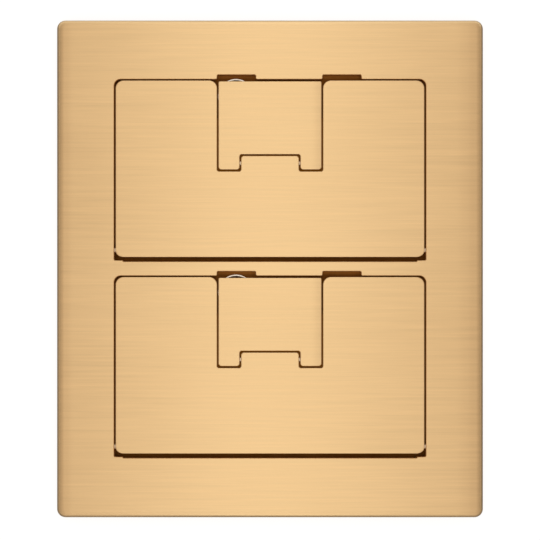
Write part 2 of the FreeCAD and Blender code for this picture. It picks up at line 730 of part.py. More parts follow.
def build_catch(bay, kind):
    """A catch: a steel cup in the support plate, the magnet in it, and the strike above it."""
    offset = CATCHES[kind]
    cup_floor = f"({SEAT} - sizes.cup_height)"
    recess = "(sizes.cup_diameter - 2 * sizes.cup_wall)"

    cup = new_body(f"{bay}_{kind}_catch_cup", bay)
    shell = new_sketch(cup, f"{bay}_{kind}_cup_shell", offset=cup_floor)
    draw_circle(shell, offset, CATCH_LINE, "sizes.cup_diameter")
    add_pad(cup, shell, "sizes.cup_height")
    hollow = new_sketch(cup, f"{bay}_{kind}_cup_hollow", offset=SEAT)
    draw_circle(hollow, offset, CATCH_LINE, recess)
    cut_pocket(cup, hollow, "(sizes.cup_height - sizes.cup_floor)")

    magnet = new_body(f"{bay}_{kind}_catch_magnet", bay)
    core = new_sketch(magnet, f"{bay}_{kind}_magnet_core", offset=f"({cup_floor} + sizes.cup_floor)")
    draw_circle(core, offset, CATCH_LINE, f"({recess} - 2 * sizes.seat_clearance)")
    add_pad(magnet, core, "(sizes.cup_height - sizes.cup_floor - sizes.magnet_set)")

    strike = new_body(f"{bay}_{kind}_strike", bay)
    disc = new_sketch(strike, f"{bay}_{kind}_strike_disc", offset=SEAT)
    draw_circle(disc, offset, CATCH_LINE, "sizes.strike_diameter")
    add_pad(strike, disc, "sizes.strike_thickness")
    return [cup, magnet, strike]


def build_bay(bay):
    """Everything that belongs to one bay."""
    keeper_screws = build_screws(
        f"{bay}_keeper_screws",
        bay,
        keeper_screw_places(),
        "sizes.keeper_screw",
        "sizes.keeper_screw_head",
        "sizes.keeper_screw_length",
        f"({SEAT} - sizes.keeper_thickness)",
    )
    catches = [piece for kind in CATCHES for piece in build_catch(bay, kind)]
    return [
        build_lid(bay),
        build_lid_pins(bay),
        build_door(bay),
        build_axle(bay),
        build_keeper(bay),
        keeper_screws,
        *catches,
    ]


support_screws = build_screws(
    "support_screws",
    None,
    support_screw_places(),
    "sizes.support_screw",
    "sizes.support_screw_head",
    "sizes.support_screw_length",
    "0",
)
bodies = [build_frame(), build_support_plate(), build_gasket(), support_screws]
for bay_name in BAYS:
    bodies.extend(build_bay(bay_name))
settle()

os.makedirs("parts", exist_ok=True)
for piece in bodies:
    if piece.Shape.isNull() or not piece.Shape.isValid():
        raise RuntimeError(f"{piece.Label} has no valid shape")
for piece in bodies:
    piece.Shape.exportStep(f"parts/{piece.Label}.step")
    box = piece.Shape.BoundBox
    print(f"{piece.Label}: {len(piece.Shape.Solids)} solids, {piece.Shape.Volume:.1f} mm3, "
          f"{box.XLength:.2f} x {box.YLength:.2f} x {box.ZLength:.2f}")
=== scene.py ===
"""A brushed brass floor box cover with two hinged lids, dressed for a studio picture taken from straight above."""
import logging
import math
from dataclasses import dataclass
from enum import Enum
from typing import Sequence

import bmesh
import bpy
import numpy as np
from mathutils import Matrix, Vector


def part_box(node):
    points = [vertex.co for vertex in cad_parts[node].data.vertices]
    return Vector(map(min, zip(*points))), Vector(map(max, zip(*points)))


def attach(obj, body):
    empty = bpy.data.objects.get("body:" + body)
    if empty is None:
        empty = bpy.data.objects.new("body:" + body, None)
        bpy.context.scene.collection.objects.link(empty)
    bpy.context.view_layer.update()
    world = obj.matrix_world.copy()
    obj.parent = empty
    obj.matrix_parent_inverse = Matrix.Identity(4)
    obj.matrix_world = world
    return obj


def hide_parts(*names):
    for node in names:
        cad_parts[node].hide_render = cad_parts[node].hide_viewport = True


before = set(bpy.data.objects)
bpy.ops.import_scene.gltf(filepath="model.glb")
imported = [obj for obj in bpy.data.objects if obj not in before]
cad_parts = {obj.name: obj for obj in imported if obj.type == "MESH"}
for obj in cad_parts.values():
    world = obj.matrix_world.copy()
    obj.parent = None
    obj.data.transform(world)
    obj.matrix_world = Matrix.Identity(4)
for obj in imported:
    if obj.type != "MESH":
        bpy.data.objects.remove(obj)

LOG = logging.getLogger("floor_box_cover")
MILLIMETRE = 0.001
BAYS = ("upper", "lower")


class Body(Enum):
    """The moving bodies that pieces ride on, with one lid and one cord door in each bay."""

    COVER = "cover"
    LID = "{bay}_lid"
    CORD_DOOR = "{bay}_cord_door"

    def of(self, bay: str = "") -> str:
        """Returns the body's name in that bay."""
        return self.value.format(bay=bay)


class Slot(Enum):
    """The record's material slots."""

    FRAME = "frame_brass"
    SUPPORT = "support_brass"
    LID = "lid_brass"
    DOOR = "door_brass"
    GASKET = "gasket_rubber"
    PIN = "pin_brass"
    SCREW = "screw_steel"
    CUP = "cup_nickel"
    MAGNET = "magnet_ferrite"
    STRIKE = "strike_steel"


class NodeKind(Enum):
    """The kinds of shader node that the finishes are made of."""

    COORDINATES = "ShaderNodeTexCoord"
    MAPPING = "ShaderNodeMapping"
    NOISE = "ShaderNodeTexNoise"
    RANGE = "ShaderNodeMapRange"
    BLEND = "ShaderNodeMix"
    BUMP = "ShaderNodeBump"
    VECTOR = "ShaderNodeCombineXYZ"
    SPLIT = "ShaderNodeSeparateXYZ"
    MATHS = "ShaderNodeMath"
    SURFACE = "ShaderNodeBsdfPrincipled"
    OUTPUT = "ShaderNodeOutputMaterial"
    EMISSION = "ShaderNodeEmission"
    DIFFUSE = "ShaderNodeBsdfDiffuse"
    ADDED = "ShaderNodeAddShader"
    LIGHT_PATH = "ShaderNodeLightPath"


Colour = tuple[float, float, float]
Source = bpy.types.NodeSocket | Colour | float


class FinishGraph:
    """The node tree of one finish, built socket by socket on the piece's own Object coordinates."""

    def __init__(self, name: str) -> None:
        """Starts an empty material.

        Args:
            name: the finish's name.
        """
        self.material = bpy.data.materials.new(name)
        self.material.use_nodes = True
        self.tree = self.material.node_tree
        self.tree.nodes.clear()

    def add(self, kind: NodeKind, **settings: object) -> bpy.types.Node:
        """Adds one node.

        Args:
            kind: which node.
            settings: its properties by name.

        Returns:
            The new node.
        """
        node = self.tree.nodes.new(kind.value)
        for name, setting in settings.items():
            setattr(node, name, setting)
        return node

    def link(self, source: bpy.types.NodeSocket, target: bpy.types.NodeSocket) -> None:
        """Joins an output to an input."""
        self.tree.links.new(source, target)

    def feed(self, source: Source, target: bpy.types.NodeSocket) -> None:
        """Gives an input what it needs.

        Args:
            source: an output to join to it, or the colour or number to set it to.
            target: the input.
        """
        if isinstance(source, bpy.types.NodeSocket):
            self.link(source, target)
        elif isinstance(source, tuple):
            target.default_value = (*source, 1.0)
        else:
            target.default_value = source

    def stretched(self, scale: Sequence[float]) -> bpy.types.NodeSocket:
        """Object coordinates stretched along each axis.

        Args:
            scale: cycles a metre along X, Y and Z.

        Returns:
            The stretched vector.
        """
        coordinates = self.add(NodeKind.COORDINATES)
        mapping = self.add(NodeKind.MAPPING)
        mapping.inputs["Scale"].default_value = scale
        self.link(coordinates.outputs["Object"], mapping.inputs["Vector"])
        return mapping.outputs["Vector"]

    def noise(self, scale: Sequence[float], detail: float = 2.0, roughness: float = 0.5) -> bpy.types.NodeSocket:
        """Fractal noise from 0 to 1.

        Args:
            scale: cycles a metre along X, Y and Z.
            detail: octaves.
            roughness: how much of each octave is left in the next.

        Returns:
            The noise's value.
        """
        node = self.add(NodeKind.NOISE)
        node.inputs["Scale"].default_value = 1.0
        node.inputs["Detail"].default_value = detail
        node.inputs["Roughness"].default_value = roughness
        self.link(self.stretched(scale), node.inputs["Vector"])
        return node.outputs["Fac"]

    def ranged(self, value: bpy.types.NodeSocket, low: float, high: float, start: float = 0.3,
               end: float = 0.7) -> bpy.types.NodeSocket:
        """A value carried from one range to another.

        Args:
            value: what is carried.
            low: the result at the start of the first range.
            high: the result at its end.
            start: where the first range starts.
            end: where it ends.

        Returns:
            The carried value.
        """
        node = self.add(NodeKind.RANGE)
        for name, number in (("From Min", start), ("From Max", end), ("To Min", low), ("To Max", high)):
            node.inputs[name].default_value = number
        self.link(value, node.inputs["Value"])
        return node.outputs["Result"]

    def maths(self, operation: str, first: Source, second: Source = 0.0) -> bpy.types.NodeSocket:
        """One sum on one or two values.

        Args:
            operation: the Math node's operation.
            first: the first value.
            second: the second value, where the operation takes one.

        Returns:
            The result.
        """
        node = self.add(NodeKind.MATHS, operation=operation)
        self.feed(first, node.inputs[0])
        self.feed(second, node.inputs[1])
        return node.outputs[0]

    def tinted(self, factor: Source, low: Source, high: Source, blend: str = "MIX") -> bpy.types.NodeSocket:
        """A colour laid over another.

        Args:
            factor: 0 for the first colour alone, 1 for the second laid over it in full.
            low: the first colour.
            high: the second.
            blend: how the second is laid over the first.

        Returns:
            The resulting colour.
        """
        node = self.add(NodeKind.BLEND, data_type="RGBA", blend_type=blend)
        ends = [socket for socket in node.inputs if socket.type == "RGBA"]
        self.feed(low, ends[0])
        self.feed(high, ends[1])
        self.feed(factor, node.inputs["Factor"])
        return next(socket for socket in node.outputs if socket.type == "RGBA")

    def place(self, axis: str) -> bpy.types.NodeSocket:
        """The Object coordinate along one axis.

        Args:
            axis: X, Y or Z.

        Returns:
            The coordinate, in metres.
        """
        split = self.add(NodeKind.SPLIT)
        self.link(self.add(NodeKind.COORDINATES).outputs["Object"], split.inputs[0])
        return split.outputs[axis]

    def past_edge(self, half: tuple[float, float]) -> bpy.types.NodeSocket:
        """How far a point lies outside a rectangle about the middle.

        Args:
            half: half the rectangle's width along X and half its length along Y, in metres.

        Returns:
            The greater of the two distances, negative inside.
        """
        past = [self.maths("SUBTRACT", self.maths("ABSOLUTE", self.place(axis)), reach)
                for axis, reach in zip("XY", half)]
        return self.maths("MAXIMUM", *past)

    def bumped(self, height: bpy.types.NodeSocket, strength: float, depth: float,
               under: bpy.types.NodeSocket | None = None) -> bpy.types.NodeSocket:
        """A normal tilted by a height.

        Args:
            height: the height from 0 to 1.
            strength: how much of the tilt is used.
            depth: the real height of a full step, in metres.
            under: the normal that is tilted, the surface's own where there is none.

        Returns:
            The tilted normal.
        """
        node = self.add(NodeKind.BUMP)
        node.inputs["Strength"].default_value = strength
        node.inputs["Distance"].default_value = depth
        self.link(height, node.inputs["Height"])
        if under:
            self.link(under, node.inputs["Normal"])
        return node.outputs["Normal"]

    def surface(self, **constants: float) -> bpy.types.Node:
        """The shader itself, linked to the material's output.

        Args:
            constants: numbers set on its sockets, with _ for each space in a socket's name.

        Returns:
            The shader node.
        """
        shader = self.add(NodeKind.SURFACE)
        for name, number in constants.items():
            shader.inputs[name.replace("_", " ")].default_value = number
        output = self.add(NodeKind.OUTPUT)
        self.link(shader.outputs["BSDF"], output.inputs["Surface"])
        return shader


def shaded(colour: Colour, factor: float) -> Colour:
    """Returns the colour with each channel multiplied by the factor."""
    return tuple(channel * factor for channel in colour)


@dataclass(frozen=True)
class RollOff:
    """A face that the brush has bent down a little towards one side, between two places along X, in metres."""

    start: float
    end: float
    drop: float

    def height(self, graph: FinishGraph) -> bpy.types.NodeSocket:
        """The share of the drop, which rises from 0 to 1 as a smoother step from the start to the end.

        Args:
            graph: the finish that the roll-off is part of.

        Returns:
            The share of the drop at each point.
        """
        share = graph.ranged(graph.place("X"), 0.0, 1.0, self.start, self.end)
        share.node.interpolation_type = "SMOOTHERSTEP"
        return share


@dataclass(frozen=True)
class BrushedBrass:
    """Brass brushed in one direction, along X, so that a highlight spreads across the brush marks."""

    name: str
    roll_offs: tuple[RollOff, ...] = ()
    colour: Colour = (0.86, 0.615, 0.315)
    # painted shade on the walls of the gaps, which are also dull and unlacquered
    recess_painted_shade: Colour = (0.55, 0.235, 0.05)
    recess_roughness: float = 0.85
    recess_gloss: float = 0.15
    recess_level: float = 0.00767
    recess_fade: float = 0.0001
    underside_level: float = 0.0031
    recess_half: tuple[float, float] = (0.0572, 0.0726)
    roughness: float = 0.3
    roughness_spread: tuple[float, float] = (-0.02, 0.03)
    anisotropy: float = 0.65
    quarter_turn: float = 0.25
    brush_direction: tuple[float, float] = (1.0, 0.06)
    hair_scale: tuple[float, float, float] = (24.0, 3200.0, 3200.0)
    broad_scale: tuple[float, float, float] = (34.0, 950.0, 950.0)
    hair_share: float = 0.35
    mark_contrast: float = 0.08
    mark_depth: float = 2.0e-6
    mark_strength: float = 0.35
    cloud_scale: tuple[float, float, float] = (14.0, 22.0, 22.0)
    cloud_contrast: Colour = (0.025, 0.03, 0.04)
    lacquer: float = 0.35
    lacquer_roughness: float = 0.3

    def recessed(self, graph: FinishGraph) -> bpy.types.NodeSocket:
        """Where the walls of the gaps are: below the top faces, above the undersides and inside the rim.

        Args:
            graph: the finish under way.

        Returns:
            1 on the walls and 0 elsewhere.
        """
        height = graph.place("Z")
        below = graph.ranged(height, 1.0, 0.0, self.recess_level - self.recess_fade, self.recess_level)
        above = graph.maths("GREATER_THAN", height, self.underside_level)
        inside = graph.maths("LESS_THAN", graph.past_edge(self.recess_half), 0.0)
        return graph.maths("MULTIPLY", graph.maths("MULTIPLY", below, above), inside)

    def material(self) -> bpy.types.Material:
        """Fine brush marks of two widths and a faint cloud vary the colour, the roughness and the height, and the
        walls of the gaps take a dark painted shade colour.

        Returns:
            The finished material.
        """
        graph = FinishGraph(self.name)
        shader = graph.surface(Metallic=1.0, Anisotropic=self.anisotropy, Anisotropic_Rotation=self.quarter_turn,
                               Specular_IOR_Level=self.recess_gloss, Coat_Roughness=self.lacquer_roughness)
        hair_lines = graph.maths("MULTIPLY", graph.noise(self.hair_scale, 3.0, 0.6), self.hair_share)
        broad_lines = graph.maths("MULTIPLY", graph.noise(self.broad_scale, 2.0, 0.6), 1.0 - self.hair_share)
        marks = graph.maths("ADD", hair_lines, broad_lines)
        dark = shaded(self.colour, 1.0 - self.mark_contrast)
        light = shaded(self.colour, 1.0 + self.mark_contrast / 2)
        tint = graph.tinted(graph.ranged(marks, 0.0, 1.0), dark, light)
        cloud = graph.ranged(graph.noise(self.cloud_scale, 2.0, 0.5), 0.0, 1.0)
        clouded = graph.tinted(cloud, tint, tuple(1.0 - contrast for contrast in self.cloud_contrast), "MULTIPLY")
        recess = self.recessed(graph)
        # painted shade: the walls of the gaps are coloured dark red-brown, as they look in their own warm shade
        graph.link(graph.tinted(recess, clouded, self.recess_painted_shade), shader.inputs["Base Color"])
        graph.link(graph.ranged(recess, self.lacquer, 0.0, 0.0, 1.0), shader.inputs["Coat Weight"])
        graph.link(graph.ranged(recess, 1.0, 0.0, 0.0, 1.0), shader.inputs["Metallic"])
        brushed = graph.ranged(marks, *(self.roughness + spread for spread in self.roughness_spread))
        dull = graph.maths("MULTIPLY", recess, self.recess_roughness)
        graph.link(graph.maths("MAXIMUM", brushed, dull), shader.inputs["Roughness"])
        face = None
        for roll_off in self.roll_offs:
            face = graph.bumped(roll_off.height(graph), 1.0, -roll_off.drop, face)
        graph.link(graph.bumped(marks, self.mark_strength, self.mark_depth, face), shader.inputs["Normal"])
        grain = graph.add(NodeKind.VECTOR)
        grain.inputs["X"].default_value, grain.inputs["Z"].default_value = self.brush_direction
        graph.link(grain.outputs["Vector"], shader.inputs["Tangent"])
        return graph.material


@dataclass(frozen=True)
class MilledMetal:
    """Metal as it leaves the mill or the lathe, with crossed fine marks and a little tarnish."""

    name: str
    colour: Colour
    tarnish: Colour
    roughness: float
    mark_scale: float = 2600.0
    mark_stretch: float = 25.0
    mark_depth: float = 3.0e-6
    mark_strength: float = 0.5
    roughness_spread: tuple[float, float] = (-0.06, 0.08)
    tarnish_scale: float = 90.0
    # painted shade below the lids: how much the bays are darkened, its tint and its soft border
    bay_painted_shade: float = 0.0
    bay_painted_shade_tint: Colour = (1.0, 0.95, 0.85)
    bay_painted_shade_border: float = 0.0005
    bay_half: tuple[float, float] = (0.0560, 0.0333)
    bay_middle: float = 0.0351

    def bay_painted_shaded(self, graph: FinishGraph) -> bpy.types.NodeSocket:
        """Where painted shade darkens the plate below the lids: in a rectangle about the middle of each bay.

        Args:
            graph: the finish under way.

        Returns:
            1 in the bays and 0 outside them, with a soft border.
        """
        across = graph.maths("ABSOLUTE", graph.place("X"))
        from_bay = graph.maths("SUBTRACT", graph.maths("ABSOLUTE", graph.place("Y")), self.bay_middle)
        along = graph.maths("ABSOLUTE", from_bay)
        past = graph.maths("MAXIMUM", graph.maths("SUBTRACT", across, self.bay_half[0]),
                           graph.maths("SUBTRACT", along, self.bay_half[1]))
        return graph.ranged(past, 1.0, 0.0, -self.bay_painted_shade_border, self.bay_painted_shade_border)

    def material(self) -> bpy.types.Material:
        """Crossed marks set the roughness and the height, a slow cloud mixes in the tarnish, and painted shade can
        darken the bays.

        Returns:
            The finished material.
        """
        graph = FinishGraph(self.name)
        shader = graph.surface(Metallic=1.0)
        fine, coarse = self.mark_scale, self.mark_scale / self.mark_stretch
        lengthwise = graph.noise((coarse, fine, fine), 3.0, 0.6)
        crosswise = graph.noise((fine, coarse, fine), 3.0, 0.6)
        marks = graph.maths("MULTIPLY", graph.maths("ADD", lengthwise, crosswise), 0.5)
        cloud = graph.noise((self.tarnish_scale,) * 3, 4.0, 0.6)
        colour = graph.tinted(graph.ranged(cloud, 0.0, 1.0), self.colour, self.tarnish)
        # painted shade: the plate is darkened below the lids, where they shade it
        if self.bay_painted_shade:
            kept = shaded(self.bay_painted_shade_tint, 1.0 - self.bay_painted_shade)
            colour = graph.tinted(self.bay_painted_shaded(graph), colour, kept, "MULTIPLY")
        graph.link(colour, shader.inputs["Base Color"])
        rough = graph.ranged(marks, *(self.roughness + spread for spread in self.roughness_spread))
        graph.link(rough, shader.inputs["Roughness"])
        graph.link(graph.bumped(marks, self.mark_strength, self.mark_depth), shader.inputs["Normal"])
        return graph.material


@dataclass(frozen=True)
class SinteredFerrite:
    """Dark sintered ferrite with fine pores."""

    name: str
    colour: Colour = (0.085, 0.054, 0.032)
    worn: Colour = (0.13, 0.087, 0.055)
    roughness: float = 0.55
    roughness_spread: tuple[float, float] = (-0.1, 0.12)
    gloss: float = 0.2
    pore_scale: float = 3500.0
    pore_depth: float = 1.0e-5
    pore_strength: float = 0.4

    def material(self) -> bpy.types.Material:
        """Small grains lighten the colour and roughen the surface.

        Returns:
            The finished material.
        """
        graph = FinishGraph(self.name)
        shader = graph.surface(Metallic=0.1, Specular_IOR_Level=self.gloss)
        grains = graph.noise((self.pore_scale,) * 3, 3.0, 0.7)
        tint = graph.tinted(graph.ranged(grains, 0.0, 1.0), self.colour, self.worn)
        rough = graph.ranged(grains, *(self.roughness + spread for spread in self.roughness_spread))
        graph.link(tint, shader.inputs["Base Color"])
        graph.link(rough, shader.inputs["Roughness"])
        graph.link(graph.bumped(grains, self.pore_strength, self.pore_depth), shader.inputs["Normal"])
        return graph.material


@dataclass(frozen=True)
class MouldedRubber:
    """Black moulded rubber with a fine matt grain and a dusty bloom."""

    name: str
    colour: Colour = (0.022, 0.022, 0.023)
    bloom: Colour = (0.05, 0.049, 0.047)
    roughness: float = 0.72
    roughness_spread: tuple[float, float] = (-0.08, 0.1)
    gloss: float = 0.35
    grain_scale: float = 2600.0
    grain_depth: float = 1.2e-5
    grain_strength: float = 0.5
    bloom_scale: float = 45.0

    def material(self) -> bpy.types.Material:
        """A fine grain sets the height and a slow cloud lays a pale bloom over the black.

        Returns:
            The finished material.
        """
        graph = FinishGraph(self.name)
        shader = graph.surface(Metallic=0.0, Specular_IOR_Level=self.gloss)
        grain = graph.noise((self.grain_scale,) * 3, 2.0, 0.6)
        bloom = graph.noise((self.bloom_scale,) * 3, 4.0, 0.6)
        tint = graph.tinted(graph.ranged(bloom, 0.0, 1.0), self.colour, self.bloom)
        rough = graph.ranged(grain, *(self.roughness + spread for spread in self.roughness_spread))
        graph.link(tint, shader.inputs["Base Color"])
        graph.link(rough, shader.inputs["Roughness"])
        graph.link(graph.bumped(grain, self.grain_strength, self.grain_depth), shader.inputs["Normal"])
        return graph.material


FRAME_ROLL_OFFS = (RollOff(0.0660, 0.0775, 0.00011), RollOff(0.0705, 0.0762, 0.00012),
                   RollOff(-0.0705, -0.0762, 0.00009))
DOOR_ROLL_OFFS = (RollOff(0.0143, 0.0220, 0.0001),)

FINISHES = {
    Slot.FRAME: BrushedBrass("frame_brushed_brass", FRAME_ROLL_OFFS),
    Slot.LID: BrushedBrass("lid_brushed_brass"),
    Slot.DOOR: BrushedBrass("door_brushed_brass", DOOR_ROLL_OFFS),
    # painted shade: the support brass, also worn by the axle keepers, is darkened to a deep red-brown, as it looks
    # in the shade below the lids and frame
    Slot.SUPPORT: MilledMetal("support_milled_brass_shade_darkened", (0.38, 0.155, 0.03), (0.3, 0.115, 0.02), 0.42, bay_painted_shade=0.5),
    Slot.GASKET: MouldedRubber("gasket_moulded_rubber"),
    Slot.PIN: MilledMetal("pin_turned_brass", (0.78, 0.64, 0.46), (0.66, 0.52, 0.34), 0.3, 3600.0),
    Slot.SCREW: MilledMetal("screw_plated_steel", (0.6, 0.59, 0.56), (0.5, 0.49, 0.46), 0.32, 3000.0),
    Slot.CUP: MilledMetal("cup_plated_nickel", (0.88, 0.81, 0.71), (0.78, 0.71, 0.61), 0.26, 3200.0),
    Slot.MAGNET: SinteredFerrite("magnet_sintered_ferrite"),
    Slot.STRIKE: MilledMetal("strike_rolled_steel", (0.52, 0.51, 0.49), (0.42, 0.41, 0.39), 0.34, 2400.0),
}


class FinishShop:
    """Makes each finish once and hands it to the pieces that wear it."""

    def __init__(self) -> None:
        """Starts with no finish made."""
        self.made: dict[Slot, bpy.types.Material] = {}

    def wear(self, piece: bpy.types.Object, slot: Slot) -> None:
        """Puts a slot's finish on a piece.

        Args:
            piece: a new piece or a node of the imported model.
            slot: the material slot that names the finish.
        """
        if slot not in self.made:
            self.made[slot] = FINISHES[slot].material()
        piece.data.materials.clear()
        piece.data.materials.append(self.made[slot])


SHOP = FinishShop()
SURFACE_CREASE = math.radians(32.0)
SURFACE_WELD = 1.0e-7
SLIVER = 1.0e-8
SOLID_WELD = 1.0e-6


def linked_piece(name: str, mesh: bpy.types.Mesh) -> bpy.types.Object:
    """Puts a mesh into the scene at the origin.

    Args:
        name: the new object's name.
        mesh: the mesh that it holds.

    Returns:
        The new object.
    """
    piece = bpy.data.objects.new(name, mesh)
    bpy.context.scene.collection.objects.link(piece)
    return piece


@dataclass(frozen=True)
class Ring:
    """The points at one radius from an upright axis, and the radius that they are carried to, in metres."""

    middle: tuple[float, float]
    radius: float
    carried_to: float
    hair: float = 5.0e-6

    def carry(self, points: np.ndarray) -> np.ndarray:
        """Moves the ring's points along their own direction from the axis, by the difference of the radii.

        Args:
            points: one row of X, Y and Z for each point.

        Returns:
            The points, with those of the ring moved.
        """
        away = points[:, :2] - np.array(self.middle)
        distance = np.hypot(away[:, 0], away[:, 1])
        chosen = np.abs(distance - self.radius) < self.hair
        moved = points.copy()
        moved[chosen, :2] += away[chosen] * (self.carried_to / distance[chosen] - 1.0)[:, None]
        return moved


@dataclass(frozen=True)
class Strip:
    """A strip of a piece that is drawn along Y, not at all at one line and wholly at another, in metres."""

    still: float
    whole: float
    shift: float
    reach: float
    margin: float = 0.0003

    def carry(self, points: np.ndarray) -> np.ndarray:
        """Moves points along Y by the shift times their share of the way from the still to the whole line.

        Points further past the whole line than the margin stay, and so do those further from X = 0 than the reach.

        Args:
            points: one row of X, Y and Z for each point.

        Returns:
            The points, with those of the strip moved.
        """
        share = (points[:, 1] - self.still) / (self.whole - self.still)
        most = 1.0 + self.margin / abs(self.whole - self.still)
        chosen = (share > 0.0) & (share < most) & (np.abs(points[:, 0]) < self.reach)
        moved = points.copy()
        moved[chosen, 1] += np.minimum(share[chosen], 1.0) * self.shift
        return moved


@dataclass
class SmoothCasting:
    """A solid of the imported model, welded and shaded so that its rounded edges run into its flat faces."""

    node: str
    body: str
    slot: Slot
    carried: Sequence[Ring | Strip] = ()
    crease: float = math.radians(36.0)

    def build(self) -> bpy.types.Object:
        """Welds a copy of the node, marks its creases and lets the large flat faces lead the shading.

        Returns:
            The piece, which replaces its node.
        """
        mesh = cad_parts[self.node].data.copy()
        mesh.name = f"{self.node}_skin"
        if "custom_normal" in mesh.attributes:
            mesh.attributes.remove(mesh.attributes["custom_normal"])
        shell = bmesh.new()
        shell.from_mesh(mesh)
        bmesh.ops.remove_doubles(shell, verts=shell.verts, dist=SOLID_WELD)
        for face in shell.faces:
            face.smooth = True
        for edge in shell.edges:
            edge.smooth = edge.is_manifold and edge.calc_face_angle(math.pi) < self.crease
        open_edges = sum(not edge.is_manifold for edge in shell.edges)
        shell.to_mesh(mesh)
        shell.free()
        points = np.empty(len(mesh.vertices) * 3)
        mesh.vertices.foreach_get("co", points)
        points = points.reshape(-1, 3)
        for form in self.carried:
            points = form.carry(points)
        mesh.vertices.foreach_set("co", points.ravel())
        mesh.update()
        piece = linked_piece(f"{self.node}_shaped", mesh)
        shading = piece.modifiers.new("flat_faces_lead", "WEIGHTED_NORMAL")
        shading.keep_sharp = True
        shading.mode = "FACE_AREA"
        shading.weight = 100
        SHOP.wear(piece, self.slot)
        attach(piece, self.body)
        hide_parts(self.node)
        LOG.info("%s: %d faces, %d open edges", piece.name, len(mesh.polygons), open_edges)
        return piece


def surface_mesh(name: str, points: np.ndarray, faces: np.ndarray) -> bpy.types.Mesh:
    """Puts whole arrays of points and four-cornered faces into a mesh.

    Args:
        name: the mesh's name.
        points: one row of X, Y and Z for each point, in metres.
        faces: one row of four point numbers for each face.

    Returns:
        The mesh, welded where poles bring points together.
    """
    mesh = bpy.data.meshes.new(name)
    mesh.from_pydata(points.reshape(-1, 3).tolist(), [], faces.reshape(-1, 4).tolist())
    shell = bmesh.new()
    shell.from_mesh(mesh)
    bmesh.ops.remove_doubles(shell, verts=shell.verts, dist=SURFACE_WELD)
    bmesh.ops.dissolve_degenerate(shell, edges=shell.edges, dist=SLIVER)
    bmesh.ops.recalc_face_normals(shell, faces=shell.faces)
    for face in shell.faces:
        face.smooth = True
    for edge in shell.edges:
        edge.smooth = edge.is_manifold and edge.calc_face_angle(math.pi) < SURFACE_CREASE
    shell.to_mesh(mesh)
    shell.free()
    return mesh


def grid_faces(rows: int, columns: int) -> np.ndarray:
    """Faces of a grid whose columns close into a ring.

    The face at row i and column j joins points (i, j), (i, j + 1), (i + 1, j + 1) and (i + 1, j), with columns
    counted round the ring.

    Args:
        rows: rows of points.
        columns: points in each row.

    Returns:
        One row of four point numbers for each face.
    """
    row, column = np.meshgrid(np.arange(rows - 1), np.arange(columns), indexing="ij")
    after = (column + 1) % columns
    here, below = row * columns, (row + 1) * columns
    corners = (here + column, here + after, below + after, below + column)
    return np.stack(corners, axis=-1).reshape(-1, 4)


@dataclass(frozen=True)
class ScrewForm:
    """A countersunk screw with a cross recess, in millimetres."""

    shank: float
    head: float
    length: float
    pitch: float
    recess_reach: float
    recess_width: float
    recess_depth: float
    head_land: float = 0.12
    ridge: float = 0.17
    columns: int = 72

    def radius_of_recess(self, angle: np.ndarray) -> np.ndarray:
        """The cross outline: at each angle the lesser of an arm's rounded end and an arm's flank.

        Args:
            angle: angles round the screw's axis.

        Returns:
            The outline's radius at each angle.
        """
        folded = np.abs((angle + math.pi / 4) % (math.pi / 2) - math.pi / 4)
        flank = self.recess_width / 2 / np.maximum(np.sin(folded), 1.0e-6)
        return 1.0 / ((1.0 / flank) ** 8 + (1.0 / self.recess_reach) ** 8) ** 0.125

    def points(self) -> np.ndarray:
        """The screw as a grid of rings round its axis, with the head's face at height 0 and the shank above it.

        The rings run from the bottom of the recess out over the head's face, up the countersunk cone, along the
        thread and in over the tip. In the recess and on the face the radius is a share of the cross outline, which
        changes to a circle at the head's rim. On the thread the radius dips by a triangle wave of the height
        divided by the pitch, less the turn round the axis.

        Returns:
            Points by ring and column, in millimetres.
        """
        angle = np.linspace(0.0, 2 * math.pi, self.columns, endpoint=False)[None, :]
        cross = self.radius_of_recess(angle)
        floor_share = np.array([0.0, 0.3, 0.55])[:, None]
        floor_radius = floor_share * cross
        floor_height = self.recess_depth * (1.0 - 0.25 * floor_share) + 0.0 * cross
        wall_share = np.array([0.7, 0.98, 1.0, 1.03])[:, None]
        wall_radius = wall_share * cross
        wall_height = np.array([0.62, 0.08, 0.03, 0.0])[:, None] * self.recess_depth + 0.0 * cross
        blend = np.array([0.35, 0.7])[:, None]
        rim = self.head / 2 - 0.06
        face_radius = (1.0 - blend) * cross * 1.03 + blend * rim
        face_height = 0.0 * face_radius
        turned = 0.0 * angle
        cone = (self.head - self.shank) / 2
        ring_radius = np.array([rim, self.head / 2, self.head / 2, self.shank / 2 + 0.03])[:, None] + turned
        ring_height = np.array([0.0, 0.05, self.head_land, cone + 0.05])[:, None] + turned
        rings = int((self.length - cone - 0.5) / self.pitch * 8)
        thread_height = np.linspace(cone + 0.12, self.length - 0.35, rings)[:, None] + turned
        phase = (thread_height / self.pitch - angle / (2 * math.pi)) % 1.0
        thread_radius = self.shank / 2 - self.ridge * np.abs(2 * phase - 1.0)
        tip_share = np.array([1.0, 0.86, 0.0])[:, None]
        tip_radius = tip_share * (self.shank / 2 - self.ridge) + turned
        tip_height = self.length + np.array([-0.3, 0.0, 0.0])[:, None] + turned
        radius = np.concatenate([floor_radius, wall_radius, face_radius, ring_radius, thread_radius, tip_radius])
        height = np.concatenate([floor_height, wall_height, face_height, ring_height, thread_height, tip_height])
        return np.stack([radius * np.cos(angle), radius * np.sin(angle), height], axis=-1)


